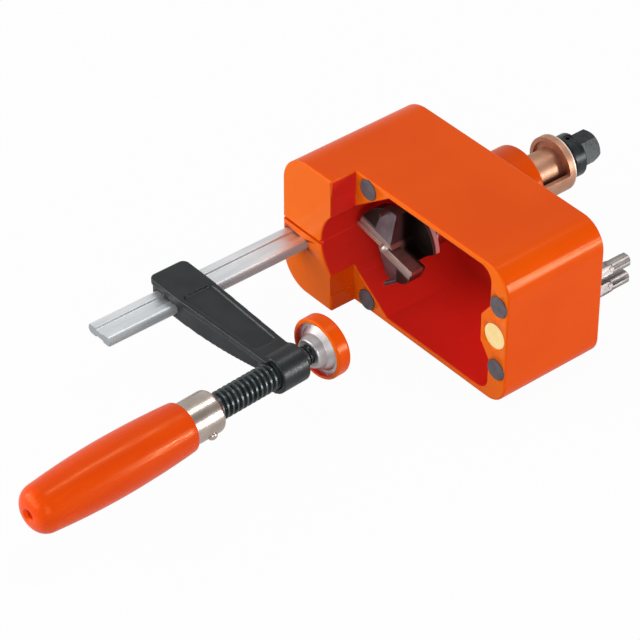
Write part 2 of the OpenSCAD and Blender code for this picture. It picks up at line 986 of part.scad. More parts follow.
module pressure_plate() {
    mouth_d = neck_d + 2 * mouth_play;
    socket_bore_d = ball_d + 4 * running;
    socket_end = ball_y + socket_bore_d / 2;
    hold = sqrt(pow(socket_bore_d / 2, 2) - pow(mouth_d / 2, 2));
    edge = 0.8;
    color(steel)
        at_screw()
            difference() {
                turned([
                    [0, hub_back],
                    [hub_d / 2 - edge, hub_back],
                    [hub_d / 2, hub_back + edge],
                    [hub_d / 2, ball_y],
                    [hub_root_d / 2, disc_back],
                    [cap_seat_d / 2 - seated, disc_back],
                    [cap_seat_d / 2 - seated, disc_front],
                    [0, disc_front]
                ]);
                rod_y(socket_bore_d, ball_y - hold, socket_end);
                rod_y(mouth_d, hub_back - over, ball_y);
            }
}

module pad_cap() {
    mouth_d = cap_seat_d - 2 * cap_lip;
    edge = 0.8;
    color(orange)
        at_screw()
            difference() {
                turned([
                    [0, cap_back],
                    [cap_d / 2 - edge, cap_back],
                    [cap_d / 2, cap_back + edge],
                    [cap_d / 2, cap_front - edge],
                    [cap_d / 2 - edge, cap_front],
                    [0, cap_front]
                ]);
                rod_y(cap_seat_d, disc_back, disc_front);
                rod_y(mouth_d, cap_back - over, disc_back + over);
            }
}

module clamp_screw() {
    crest = screw_d / 2;
    root = crest - thread_depth;
    turns = floor((boss_far - ferrule_front) / screw_pitch);
    thread = [
        for (i = [0:turns - 1])
            each [
                [root, ferrule_front + i * screw_pitch],
                [root, ferrule_front + (i + 0.2) * screw_pitch],
                [crest, ferrule_front + (i + 0.4) * screw_pitch],
                [crest, ferrule_front + (i + 0.8) * screw_pitch],
                [root, ferrule_front + (i + 1) * screw_pitch]
            ]
    ];
    color(charcoal)
        at_screw()
            union() {
                turned(concat(
                    [[0, tang_end], [tang_d / 2, tang_end], [tang_d / 2, ferrule_back + handle_socket]],
                    [[root, ferrule_back + handle_socket]],
                    thread,
                    [[ring_d / 2, boss_far + end_float], [ring_d / 2, ring_back - end_float]],
                    [[neck_d / 2, ring_back - end_float]],
                    [[neck_d / 2, ball_y], [0, ball_y]]
                ));
                translate([0, ball_y, 0])
                    sphere(d = ball_d);
            }
}

module ferrule_pin_way() {
    share = 0.7;
    translate([0, ferrule_back + share * handle_socket, 0])
        children();
}

module ferrule() {
    root = screw_d / 2 - thread_depth;
    color("#D8D2C8")
        at_screw()
            difference() {
                rotate([-90, 0, 0])
                    rotate_extrude()
                        union() {
                            translate([0, ferrule_back])
                                square([ferrule_d / 2, ferrule_l - ferrule_r]);
                            translate([0, ferrule_back])
                                square([ferrule_d / 2 - ferrule_r, ferrule_l]);
                            translate([ferrule_d / 2 - ferrule_r, ferrule_front - ferrule_r])
                                circle(ferrule_r);
                        }
                rod_y(2 * (root + seated), ferrule_back - over, ferrule_front + over);
                rod_y(ferrule_bore_d, ferrule_back - over, ferrule_back + handle_socket);
                ferrule_pin_way() radial_rod(ferrule_pin_d + 2 * seated, ferrule_pin_angle, 0, ferrule_d);
            }
}

module ferrule_pin() {
    sunk = 0.4;
    collar = 0.3;
    color(steel)
        at_screw()
            ferrule_pin_way()
                union() {
                    radial_rod(ferrule_pin_d, ferrule_pin_angle, tang_d / 2 + pin_set, ferrule_d / 2 + collar);
                    rotate([0, -ferrule_pin_angle, 0])
                        translate([ferrule_d / 2 - sunk, 0, 0])
                            sphere(d = ferrule_pin_d - collar);
                }
}

// Radius of the handle at a distance from the ferrule, full in the middle
function handle_r(at) =
    let (end_r = (at < handle_full ? handle_neck_d : handle_butt_d) / 2)
    let (reach = at < handle_full ? handle_full : handle_l - butt_r - handle_full)
    handle_d / 2 - (handle_d / 2 - end_r) * pow((at - handle_full) / reach, 2);

module handle() {
    steps = 16;
    spigot_end = ferrule_back + handle_socket - seated;
    side = handle_l - butt_r;
    belly = [
        for (i = [0:steps])
            [handle_r(side * i / steps), ferrule_back - side * i / steps]
    ];
    rounding = [
        for (turn = [15:15:90])
            [handle_butt_d / 2 - butt_r * (1 - cos(turn)), butt + butt_r * (1 - sin(turn))]
    ];
    color(orange)
        at_screw()
            difference() {
                union() {
                    turned(concat([[0, ferrule_back]], belly, rounding, [[0, butt]]));
                    rod_y(ferrule_bore_d - 2 * seated, ferrule_back - over, spigot_end);
                }
                rod_y(tang_d + 2 * seated, tang_end - over, ferrule_back + handle_socket + over);
                rod_y(butt_hole_d, butt - over, butt + butt_hole_depth);
                ferrule_pin_way() radial_rod(ferrule_pin_d + 2 * seated, ferrule_pin_angle, 0, ferrule_d);
            }
}

housing();
grip_pads();
sighting_disc();
clamp_bar();
bar_pins();
feed_sleeve();
retaining_ring();
spindle();
front_washer();
rear_washer();
hex_drive();
drive_set_screw();
bit_set_screw();
bit_body();
bit_cutters();
centre_point();
spare_bit_upper();
spare_bit_lower();
clamp_arm();
neck_ring();
pressure_plate();
pad_cap();
clamp_screw();
ferrule();
ferrule_pin();
handle();
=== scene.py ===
"""A clamp-on drilling template for hinge cups, dressed over its CAD frame.

Lengths are in millimetres until they become a mesh. The origin is where the drill axis meets the
front work face; +X runs along the housing, +Y points away from the work and +Z is up.
"""
import math

import bmesh
import bpy
from mathutils import Matrix, Vector


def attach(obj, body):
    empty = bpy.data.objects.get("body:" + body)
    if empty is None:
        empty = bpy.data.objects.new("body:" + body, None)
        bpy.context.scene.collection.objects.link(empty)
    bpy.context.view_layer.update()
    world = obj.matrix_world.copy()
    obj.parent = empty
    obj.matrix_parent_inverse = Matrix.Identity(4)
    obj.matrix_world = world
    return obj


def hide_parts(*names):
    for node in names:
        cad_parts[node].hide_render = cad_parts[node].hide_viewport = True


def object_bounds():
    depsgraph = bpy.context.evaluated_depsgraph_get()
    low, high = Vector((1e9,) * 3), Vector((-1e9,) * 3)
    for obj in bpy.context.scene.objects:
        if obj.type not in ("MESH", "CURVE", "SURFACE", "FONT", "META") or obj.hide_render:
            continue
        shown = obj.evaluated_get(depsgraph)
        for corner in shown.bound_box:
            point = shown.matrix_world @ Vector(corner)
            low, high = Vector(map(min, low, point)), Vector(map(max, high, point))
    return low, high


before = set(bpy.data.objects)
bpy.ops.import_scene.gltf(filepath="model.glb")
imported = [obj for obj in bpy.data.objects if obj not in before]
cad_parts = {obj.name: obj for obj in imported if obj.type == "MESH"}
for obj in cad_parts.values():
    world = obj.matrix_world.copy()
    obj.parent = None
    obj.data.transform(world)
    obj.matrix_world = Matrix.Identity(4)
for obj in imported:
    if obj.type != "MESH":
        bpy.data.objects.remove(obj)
cad_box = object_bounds()

MM = 0.001

# Housing
BODY_LEFT, BODY_RIGHT, HALF_H, BODY_D = -45.6, 78.5, 33.3, 52.0
STOP_X, BLOCK_FRONT, NOSE_R = -14.2, -12.7, 20.9
CHAMBER_TOP, SLANT_X, CHAMBER_RIGHT, CHAMBER_R = 30.5, 6.5, 68.2, 6.0
BUMP_X, BUMP_FLAT, BUMP_ROOT = 63.2, 6.5, 13.5
NOSE_Z = math.sqrt(NOSE_R ** 2 - STOP_X ** 2)
BOSS_R, BOSS_END = 16.5, 79.0
EDGE_R = 1.1

# Clamp
BAR_X, BAR_Z, BAR_W, BAR_T = -36.8, -7.9, 15.0, 4.8
BAR_TIP, BAR_END = -114.7, 27.3
SCREW_X, BOSS_MID, LEAN = 26.4, -69.3, 3.0
BOSS_FAR, RING_BACK, RING_FRONT, BALL_Y = -63.95, -59.85, -58.85, -54.25
HUB_BACK, CAP_BACK, CAP_FRONT = -58.05, -53.65, -46.65
DISC_BACK, DISC_FRONT = -51.85, -48.65
FERRULE_FRONT, FERRULE_BACK, BUTT = -108.35, -123.55, -200.05
FERRULE_R, FERRULE_BORE, FERRULE_EYE, FERRULE_DEPTH = 9.2, 8.02, 4.75, 12
HANDLE_FULL, HANDLE_SIDE, BUTT_ROUND = 34.5, 69.5, 7
HANDLE_R, HANDLE_NECK_R, HANDLE_BUTT_R, HANDLE_HOLE_R = 12.1, 10.7, 10.3, 2.0
RIVET_AT, RIVET_ANGLE, RIVET_R = FERRULE_BACK + 8.4, 31, 2.1
RIVET_FOOT, RIVET_HEAD, RIVET_DOME = 4.4, 9.1, 1.6
ROOT_R, PITCH, BALL_R, TANG_R, TANG_END = 4.7, 2.5, 4.5, 4, -161.8
THREAD_START, THREAD_END = FERRULE_FRONT + 1.0, BOSS_FAR - 1.2
CAP_R, CAP_MOUTH_R, CAP_SEAT_R, CAP_SHADE_R = 13.5, 11.7, 12.1, 12.0
ARM_TOP, ARM_PANEL = -0.4, (-27.5, 17.5, -72.5)
PANEL_LEFT_HALF, PANEL_RIGHT_HALF, PANEL_DEPTH = 7.3, 5.3, 1.0

# Drill
# Where the flange's rim starts to be painted near white as a highlight, along the axis and outwards
FLANGE_HIGHLIGHT = (99.2, 12.0)
# Turn that brings the bit's upper cutting edge onto +X
CUT_ANGLE = 167.3
# Where the bit's ground land ends, its heel's painted shade starts, the painted shade in its gullets deepens
# and its rim lies
LAND_W, HEEL_OUT, HEEL_PAST = 3.6, 7.6, 3.0
GULLET_FRONT, GULLET_DARK, RIM_R, RIM_BACK = 8.5, 12.5, 16.4, 16.8

# Where a piece that is drawn along Y lies on the leaning screw's axis
ON_SCREW = (
    Matrix.Translation((SCREW_X, BOSS_MID, BAR_Z))
    @ Matrix.Rotation(math.radians(LEAN), 4, "Z")
    @ Matrix.Translation((0, -BOSS_MID, 0))
)
ON_DRILL = Matrix.Identity(4)


# Shapes

def piece_from(name, verts, faces, place=ON_DRILL):
    """A closed mesh object from points in millimetres, with its faces pointing outwards."""
    mesh = bpy.data.meshes.new(name)
    mesh.from_pydata([(place @ Vector(v)) * MM for v in verts], [], faces)
    work = bmesh.new()
    work.from_mesh(mesh)
    bmesh.ops.remove_doubles(work, verts=work.verts, dist=1e-7)
    bmesh.ops.recalc_face_normals(work, faces=work.faces)
    work.to_mesh(mesh)
    work.free()
    made = bpy.data.objects.new(name, mesh)
    bpy.context.scene.collection.objects.link(made)
    return made


def settle(piece):
    """Turns what the modifiers give into the piece's plain mesh."""
    bpy.context.view_layer.update()
    graph = bpy.context.evaluated_depsgraph_get()
    mesh = bpy.data.meshes.new_from_object(piece.evaluated_get(graph))
    piece.modifiers.clear()
    piece.data = mesh
    return piece


def modify(piece, kind, **values):
    """Adds a modifier with its values."""
    change = piece.modifiers.new(kind.lower(), kind)
    for key, value in values.items():
        setattr(change, key, value)
    return piece


def join_shape(piece, other, operation):
    """Unites, cuts or intersects a piece with another, which is used up."""
    modify(piece, "BOOLEAN", operation=operation, object=other, solver="MANIFOLD")
    settle(piece)
    bpy.data.objects.remove(other)
    return piece


def shade(piece, angle=32, level=True):
    """Smooth faces up to an angle, with flats kept flat beside their rounded edges."""
    for face in piece.data.polygons:
        face.use_smooth = True
    piece.data.set_sharp_from_angle(angle=math.radians(angle))
    if level:
        modify(piece, "WEIGHTED_NORMAL", keep_sharp=True, weight=50)
        settle(piece)
    return piece


def eased(points, steps=5):
    """An outline whose corners are rounded where a point carries a radius as third value."""
    out = []
    for i, point in enumerate(points):
        if len(point) < 3:
            out.append(tuple(point[:2]))
            continue
        corner = Vector(point[:2])
        back = Vector(points[i - 1][:2]) - corner
        ahead = Vector(points[(i + 1) % len(points)][:2]) - corner
        half = back.angle(ahead) / 2
        reach = min(point[2] / math.tan(half), 0.48 * min(back.length, ahead.length))
        r = reach * math.tan(half)
        back.normalize()
        ahead.normalize()
        centre = corner + (back + ahead).normalized() * (r / math.sin(half))
        first = corner + back * reach - centre
        last = corner + ahead * reach - centre
        turn = math.atan2(first.x * last.y - first.y * last.x, first.dot(last))
        for k in range(steps + 1):
            a = turn * k / steps
            out.append((
                centre.x + first.x * math.cos(a) - first.y * math.sin(a),
                centre.y + first.x * math.sin(a) + first.y * math.cos(a),
            ))
    return out


def turned(name, profile, place=ON_DRILL, around=96, ring=False, steps=5):
    """A turned piece from radius and place along its axis; a ring's outline closes on itself."""
    outline = eased(profile, steps)
    verts, rows = [], []
    for r, y in outline:
        if r < 1e-6:
            rows.append([len(verts)])
            verts.append((0, y, 0))
            continue
        rows.append(list(range(len(verts), len(verts) + around)))
        for k in range(around):
            a = 2 * math.pi * k / around
            verts.append((r * math.cos(a), y, r * math.sin(a)))
    pairs = list(zip(rows, rows[1:])) + ([(rows[-1], rows[0])] if ring else [])
    faces = []
    for low, high in pairs:
        for k in range(around):
            n = (k + 1) % around
            quad = [low[k % len(low)], low[n % len(low)], high[n % len(high)], high[k % len(high)]]
            face = list(dict.fromkeys(quad))
            if len(face) > 2:
                faces.append(face)
    return piece_from(name, verts, faces, place)


def grown(outline, by):
    """An outline in X and Z moved outwards; it runs anticlockwise."""
    out = []
    count = len(outline)
    for i in range(count):
        here = Vector(outline[i])
        before = (here - Vector(outline[i - 1])).normalized()
        after = (Vector(outline[(i + 1) % count]) - here).normalized()
        n1, n2 = Vector((before.y, -before.x)), Vector((after.y, -after.x))
        out.append(tuple(here + (n1 + n2) * (by / (1 + n1.dot(n2)))))
    return out


def lofted(name, outline, levels):
    """A solid along Y through an outline, moved in or out at each level of (Y, growth)."""
    verts, faces = [], []
    count = len(outline)
    for y, by in levels:
        verts += [(x, y, z) for x, z in grown(outline, by)]
    for row in range(len(levels) - 1):
        for i in range(count):
            n = (i + 1) % count
            faces.append((row * count + i, row * count + n, (row + 1) * count + n, (row + 1) * count + i))
    faces.append(tuple(range(count)))
    faces.append(tuple(range((len(levels) - 1) * count, len(levels) * count)))
    return piece_from(name, verts, faces)


def raised(name, outline, low, high):
    """A solid between two heights over an outline in X and Y."""
    count = len(outline)
    verts = [(x, y, z) for z in (low, high) for x, y in outline]
    faces = [(i, (i + 1) % count, count + (i + 1) % count, count + i) for i in range(count)]
    return piece_from(name, verts, faces + [tuple(range(count)), tuple(range(count, 2 * count))])


def round_levels(y, r, into, steps=6):
    """Levels of a rounded edge that starts at Y and goes into the solid along Y."""
    return [
        (y + into * r * (1 - math.cos(a)), -r * (1 - math.sin(a)))
        for a in [math.pi / 2 * k / steps for k in range(steps + 1)]
    ]


def merged_copy(node, name=None):
    """A copy of a CAD node with its loose triangles joined."""
    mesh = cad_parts[node].data.copy()
    work = bmesh.new()
    work.from_mesh(mesh)
    bmesh.ops.remove_doubles(work, verts=work.verts, dist=2e-6)
    work.to_mesh(mesh)
    work.free()
    made = bpy.data.objects.new(name or node + "_dressed", mesh)
    bpy.context.scene.collection.objects.link(made)
    return made


def dress(piece, body, material, slot, *nodes):
    """Gives a finished piece its material and its place in the frame."""
    piece.data.materials.clear()
    piece.data.materials.append(material)
    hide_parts(*nodes)
    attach(piece, body)
    return piece


# Materials

def colour(code):
    """An sRGB hex colour as linear values."""
    parts = [int(code[i:i + 2], 16) / 255 for i in (0, 2, 4)]
    return tuple(c / 12.92 if c <= 0.04045 else ((c + 0.055) / 1.055) ** 2.4 for c in parts) + (1,)


def put(tree, kind, settings=None, **sockets):
    """Adds a node with its settings; a socket takes a value or a link."""
    node = tree.nodes.new(kind)
    for key, value in (settings or {}).items():
        setattr(node, key, value)
    for key, value in sockets.items():
        socket = node.inputs[int(key[2:])] if key.startswith("in") else node.inputs[key.replace("_", " ")]
        if isinstance(value, bpy.types.NodeSocket):
            tree.links.new(value, socket)
        else:
            socket.default_value = value
    return node


def start(name):
    """A material with an empty Principled shader and the piece's coordinates."""
    material = bpy.data.materials.new(name)
    material.use_nodes = True
    tree = material.node_tree
    shader = tree.nodes["Principled BSDF"]
    place = put(tree, "ShaderNodeTexCoord").outputs["Object"]
    return material, tree, shader, place


def about_axis(tree, place, centre=(0, 0, 0), lean=0.0):
    """Radius and distance along a turning axis, for the marks that a lathe leaves."""
    local = put(
        tree, "ShaderNodeMapping", {"vector_type": "TEXTURE"},
        Vector=place, Location=tuple(v * MM for v in centre), Rotation=(0, 0, math.radians(lean)),
    )
    parts = put(tree, "ShaderNodeSeparateXYZ", Vector=local.outputs["Vector"])
    flat = put(tree, "ShaderNodeCombineXYZ", X=parts.outputs["X"], Y=0.0, Z=parts.outputs["Z"])
    radius = put(tree, "ShaderNodeVectorMath", {"operation": "LENGTH"}, in0=flat.outputs["Vector"])
    return put(
        tree, "ShaderNodeCombineXYZ",
        X=radius.outputs["Value"], Y=parts.outputs["Y"], Z=0.0,
    ).outputs["Vector"]


def pattern(tree, place, size, detail=2.0, rough=0.5):
    """Uneven cells of a real size in millimetres along X, Y and Z."""
    cells = put(tree, "ShaderNodeMapping", Vector=place, Scale=tuple(1 / (s * MM) for s in size))
    return put(
        tree, "ShaderNodeTexNoise", Vector=cells.outputs["Vector"], Scale=1.0, Detail=detail, Roughness=rough,
    ).outputs["Fac"]


def vary(tree, target, by, low, high, ends=(0.28, 0.72)):
    """Drives a shader's socket, a number or a colour, between two values by a pattern."""
    numbers = isinstance(low, float)
    share = put(
        tree, "ShaderNodeMapRange", {"interpolation_type": "SMOOTHSTEP"},
        Value=by, From_Min=ends[0], From_Max=ends[1],
        To_Min=low if numbers else 0.0, To_Max=high if numbers else 1.0,
    ).outputs["Result"]
    if not numbers:
        first, last = [colour(c) if isinstance(c, str) else c for c in (low, high)]
        share = put(tree, "ShaderNodeMix", {"data_type": "RGBA"}, in0=share, in6=first, in7=last).outputs[2]
    if target:
        tree.links.new(share, target)
    return share


def relief(tree, shader, height, depth, strength=1.0):
    """Bumps of a real depth in millimetres."""
    bump = put(tree, "ShaderNodeBump", Strength=strength, Distance=depth * MM, Height=height)
    tree.links.new(bump.outputs["Normal"], shader.inputs["Normal"])


def moulded_polyamide(name, shaded_hollows=(), shaded_recess=None):
    """Orange moulded polyamide with a warm shine; painted light makes faces toward -Y yellower, painted shade
    reddens hollow places.
    """
    material, tree, shader, place = start(name)
    flow = pattern(tree, place, (38, 38, 38))
    skin = pattern(tree, place, (0.9, 0.9, 0.9))
    tone = vary(tree, None, flow, "DE4B02", "E45103", ends=(0.2, 0.8))
    normal = put(tree, "ShaderNodeTexCoord").outputs["Normal"]
    facing = put(tree, "ShaderNodeSeparateXYZ", Vector=normal).outputs["Y"]
    # Painted light: faces toward -Y are painted a yellower orange, as lit from the front.
    tone = vary(tree, None, facing, "DE6008", tone, ends=(-0.95, -0.5))
    away = None
    for centre, half in shaded_hollows:
        local = put(
            tree, "ShaderNodeMapping", {"vector_type": "TEXTURE"}, Vector=place,
            Location=tuple(c * MM for c in centre), Scale=tuple(h * MM for h in half),
        )
        parts = put(tree, "ShaderNodeVectorMath", {"operation": "ABSOLUTE"}, in0=local.outputs["Vector"])
        parts = put(tree, "ShaderNodeSeparateXYZ", Vector=parts.outputs["Vector"]).outputs
        widest = put(tree, "ShaderNodeMath", {"operation": "MAXIMUM"}, in0=parts["X"], in1=parts["Y"])
        widest = put(tree, "ShaderNodeMath", {"operation": "MAXIMUM"}, in0=widest.outputs[0], in1=parts["Z"])
        if away:
            widest = put(tree, "ShaderNodeMath", {"operation": "MINIMUM"}, in0=widest.outputs[0], in1=away)
        away = widest.outputs[0]
    if shaded_recess:
        radius = put(tree, "ShaderNodeSeparateXYZ", Vector=about_axis(tree, place, **SCREW_AXIS)).outputs["X"]
        away = put(tree, "ShaderNodeMath", {"operation": "DIVIDE"}, in0=radius, in1=shaded_recess * MM).outputs[0]
    if away:
        # Painted shade: the orange turns a deeper red inside the given boxes, and for the cap within the
        # given radius of the screw's axis.
        tone = vary(tree, None, away, "E62C22", tone, ends=(0.985, 1.02))
    tree.links.new(tone, shader.inputs["Base Color"])
    vary(tree, shader.inputs["Roughness"], skin, 0.22, 0.27)
    shader.inputs["Specular IOR Level"].default_value = 0.14
    shader.inputs["Specular Tint"].default_value = colour("FFE2A0")
    relief(tree, shader, skin, 0.012, 0.3)
    return material


def lacquered_beech():
    """Turned beech under orange lacquer: the grain breaks the gloss into long streaks."""
    material, tree, shader, place = start("orange_lacquered_beech")
    local = put(
        tree, "ShaderNodeMapping", {"vector_type": "TEXTURE"},
        Vector=place, Location=(SCREW_X * MM, BOSS_MID * MM, BAR_Z * MM), Rotation=(0, 0, math.radians(LEAN)),
    ).outputs["Vector"]
    grain = pattern(tree, local, (0.9, 14, 0.9), detail=4, rough=0.6)
    broad = pattern(tree, local, (6, 40, 6))
    tone = vary(tree, None, grain, "DE4405", "E64C07")
    vary(tree, shader.inputs["Base Color"], broad, tone, "DC4205")
    vary(tree, shader.inputs["Roughness"], grain, 0.38, 0.18)
    shader.inputs["Specular IOR Level"].default_value = 0.28
    shader.inputs["Specular Tint"].default_value = colour("FFC47C")
    relief(tree, shader, grain, 0.045, 0.6)
    return material


def drawn_steel():
    """Cold-drawn zinc plated bar: pale and silky with fine lines along it, darker and rougher on the sawn
    end; the rounded edge facing +X is rougher and painted darker, as shade.
    """
    material, tree, shader, place = start("drawn_zinc_steel")
    lines = pattern(tree, place, (0.35, 45, 0.35), detail=3)
    cloud = pattern(tree, place, (5, 26, 5))
    normal = put(tree, "ShaderNodeTexCoord").outputs["Normal"]
    facing = put(tree, "ShaderNodeSeparateXYZ", Vector=normal).outputs
    tone = vary(tree, None, cloud, "E0E4E7", "F0F2F3")
    # Painted shade: the rounded edge that faces +X is painted darker.
    tone = vary(tree, None, facing["X"], tone, "BCC0C2", ends=(0.1, 0.7))
    vary(tree, shader.inputs["Base Color"], facing["Y"], "A2A7AA", tone, ends=(-0.85, -0.1))
    shader.inputs["Metallic"].default_value = 1.0
    rough = vary(tree, None, lines, 0.38, 0.52)
    rough = vary(tree, None, facing["X"], 0.72, rough, ends=(0.7, 0.1))
    vary(tree, shader.inputs["Roughness"], facing["Y"], 0.72, rough, ends=(-0.85, -0.1))
    relief(tree, shader, lines, 0.02, 0.5)
    return material


def lathe_turned(name, dark, light, rough, metal=1.0, depth=0.01, rim=None, centre=(0, 0, 0), lean=0.0):
    """A turned metal: fine rings from the lathe, a slow change of tone, and a painted highlight that turns a
    given rim near white.
    """
    material, tree, shader, place = start(name)
    spot = about_axis(tree, place, centre, lean)
    rings = pattern(tree, spot, (0.28, 0.28, 1), detail=3)
    cloud = pattern(tree, place, (6, 6, 6))
    tone = vary(tree, None, cloud, dark, light)
    # Painted highlight: past the given rim the metal is painted near white.
    if rim:
        parts = put(tree, "ShaderNodeSeparateXYZ", Vector=spot).outputs
        behind, outside = [
            put(tree, "ShaderNodeMath", {"operation": "SUBTRACT"}, in0=parts[axis], in1=limit * MM).outputs[0]
            for axis, limit in zip("YX", rim)
        ]
        both = put(tree, "ShaderNodeMath", {"operation": "MINIMUM"}, in0=behind, in1=outside).outputs[0]
        tone = vary(tree, None, both, tone, "F6ECE4", ends=(0.0, 0.4 * MM))
    tree.links.new(tone, shader.inputs["Base Color"])
    shader.inputs["Metallic"].default_value = metal
    vary(tree, shader.inputs["Roughness"], rings, rough - 5 * depth, rough + 6 * depth)
    relief(tree, shader, rings, depth, 0.5)
    return material


def cast_iron():
    """Malleable iron casting under black paint: a soft sand-cast skin with a dull shine."""
    material, tree, shader, place = start("black_painted_casting")
    sand = pattern(tree, place, (0.9, 0.9, 0.9), detail=4, rough=0.55)
    cloud = pattern(tree, place, (11, 11, 11))
    vary(tree, shader.inputs["Base Color"], cloud, "14181A", "1D2224")
    vary(tree, shader.inputs["Roughness"], sand, 0.3, 0.44)
    shader.inputs["Specular IOR Level"].default_value = 0.36
    relief(tree, shader, sand, 0.07, 0.5)
    return material


def blackened_steel(name, dark, light):
    """Blackened steel with a trace of oil: dark, with small bright glints on its edges."""
    material, tree, shader, place = start(name)
    oil = pattern(tree, place, (3, 3, 3), detail=3)
    fine = pattern(tree, place, (0.4, 0.4, 0.4))
    vary(tree, shader.inputs["Base Color"], oil, dark, light)
    shader.inputs["Metallic"].default_value = 0.45
    vary(tree, shader.inputs["Roughness"], oil, 0.26, 0.38)
    relief(tree, shader, fine, 0.012, 0.4)
    return material


def hardened_steel():
    """Hardened tool steel with ground lands; painted shade darkens the heels and the gullets, and the rim has
    painted shade in front and a painted glint behind.
    """
    material, tree, shader, place = start("hardened_tool_steel")
    heat = pattern(tree, place, (8, 8, 8))
    lines = pattern(tree, place, (0.3, 5, 4), detail=3)
    spot = put(tree, "ShaderNodeSeparateXYZ", Vector=about_axis(tree, place)).outputs
    # Distances along the cutting edge and away from it, with the sign of the wing
    wing = put(
        tree, "ShaderNodeMapping",
        Vector=place, Scale=(1, 1, -1), Rotation=(0, math.radians(-CUT_ANGLE), 0),
    )
    wing = put(tree, "ShaderNodeSeparateXYZ", Vector=wing.outputs["Vector"]).outputs
    side = put(tree, "ShaderNodeMath", {"operation": "SIGN"}, in0=wing["Z"]).outputs[0]
    out = put(tree, "ShaderNodeMath", {"operation": "MULTIPLY"}, in0=wing["X"], in1=side).outputs[0]
    away = put(tree, "ShaderNodeMath", {"operation": "ABSOLUTE"}, in0=wing["Z"]).outputs[0]
    past = put(tree, "ShaderNodeMath", {"operation": "ADD"}, in0=away, in1=HEEL_PAST * MM).outputs[0]
    heel = put(tree, "ShaderNodeMath", {"operation": "MINIMUM"}, in0=out, in1=past).outputs[0]
    ground = vary(tree, None, heat, "5C4E52", "766A6E")
    land = vary(tree, None, away, "A6948E", ground, ends=(LAND_W * MM, (LAND_W + 0.4) * MM))
    # Painted shade: the gullets are painted near black deeper than their front.
    skin = vary(tree, None, spot["Y"], land, "1E1411", ends=(GULLET_FRONT * MM, GULLET_DARK * MM))
    # The rim is painted dark brown in front, as shade, and near white behind, as a painted glint.
    edge = vary(tree, None, spot["Y"], "4A3A34", "DAD5D1", ends=(RIM_BACK * MM, (RIM_BACK + 0.8) * MM))
    outside = (RIM_R * MM, (RIM_R + 0.4) * MM)
    rim = vary(tree, None, spot["X"], skin, edge, ends=outside)
    # Painted shade: the heel, out along the cutting edge and away from it, is painted dark brown.
    heel_ends = (HEEL_OUT * MM, (HEEL_OUT + 0.6) * MM)
    vary(tree, shader.inputs["Base Color"], heel, rim, "231713", ends=heel_ends)
    vary(tree, shader.inputs["Metallic"], spot["X"], 0.8, 0.35, ends=outside)
    vary(tree, shader.inputs["Roughness"], lines, 0.34, 0.48)
    relief(tree, shader, lines, 0.015, 0.5)
    return material


def ground_steel(name, dark, light, rough=0.4):
    """Ground bare steel: grey, with short grinding lines."""
    material, tree, shader, place = start(name)
    lines = pattern(tree, place, (0.3, 4, 0.3), detail=3)
    cloud = pattern(tree, place, (5, 9, 5))
    vary(tree, shader.inputs["Base Color"], cloud, dark, light)
    shader.inputs["Metallic"].default_value = 1.0
    vary(tree, shader.inputs["Roughness"], lines, rough, rough + 0.14)
    relief(tree, shader, lines, 0.012, 0.5)
    return material


def grip_rubber():
    """Nitrile rubber pads: matt grey with a fine cloth-like grain."""
    material, tree, shader, place = start("grey_nitrile_rubber")
    grain = pattern(tree, place, (0.5, 0.5, 0.5), detail=3)
    cloud = pattern(tree, place, (4, 4, 4))
    vary(tree, shader.inputs["Base Color"], cloud, "484146", "564F54")
    vary(tree, shader.inputs["Roughness"], grain, 0.62, 0.8)
    relief(tree, shader, grain, 0.05, 0.5)
    return material


def cream_acetal():
    """Cream acetal disc: smooth and slightly waxy."""
    material, tree, shader, place = start("cream_acetal")
    cloud = pattern(tree, place, (5, 5, 5))
    fine = pattern(tree, place, (0.5, 0.5, 0.5))
    vary(tree, shader.inputs["Base Color"], cloud, "E2C684", "EAD094")
    vary(tree, shader.inputs["Roughness"], cloud, 0.38, 0.5)
    relief(tree, shader, fine, 0.012, 0.3)
    return material


SCREW_AXIS = {"centre": (SCREW_X, BOSS_MID, BAR_Z), "lean": LEAN}
# Middle and half sizes, a little past the walls, of the open chamber and of the nose's hollow, which are
# painted a deeper red as shade
SHADED_HOLLOWS = (((22, 24, 0), (48, 23.5, 31.6)), ((-18, -5.7, 8.6), (4.1, 6.4, 23.6)))
ORANGE = moulded_polyamide("moulded_orange_polyamide", SHADED_HOLLOWS)
# The cap is painted a deeper red as shade inside its recessed ring.
CAP_ORANGE = moulded_polyamide("moulded_orange_cap", shaded_recess=CAP_SHADE_R)
BEECH = lacquered_beech()
DRAWN = drawn_steel()
# The flange's rim is painted near white as a highlight.
BRONZE = lathe_turned("turned_bearing_bronze", "B8866A", "C89A7E", 0.47, metal=0.74, rim=FLANGE_HIGHLIGHT)
NICKEL = lathe_turned("bright_nickel_plate", "B4A79C", "C8BCB2", 0.28, depth=0.001, **SCREW_AXIS)
ZINC = lathe_turned("turned_zinc_plated_steel", "B6B2B2", "CCC8C8", 0.42, **SCREW_AXIS)
BRIGHT = lathe_turned("turned_bright_steel", "A9A7A6", "C6C4C2", 0.25)
CASTING = cast_iron()
BLACK = blackened_steel("blackened_oiled_steel", "1C2021", "2C3132")
# The screw's copy of the blackened steel is painted lighter, as lit, to stand in for the glints on its
# thread.
BLACK_PAINTED_LIGHTER = blackened_steel("worn_black_thread", "363C3E", "4A5052")
TOOL = hardened_steel()
GROUND = ground_steel("ground_bare_steel", "8C8685", "A8A3A1")
CUTTER = ground_steel("ground_cutter_steel", "A8958E", "C2B2AC")
SATIN = ground_steel("satin_bit_steel", "8E8785", "A6A09D", rough=0.48)
RUBBER = grip_rubber()
CREAM = cream_acetal()


# Housing

def body_outline(left, right, radii):
    """The housing's rounded outline, from the bottom left corner anticlockwise."""
    bl, br, tr, tl = radii
    return eased(
        [(left, -HALF_H, bl), (right, -HALF_H, br), (right, HALF_H, tr), (left, HALF_H, tl)], steps=24,
    )


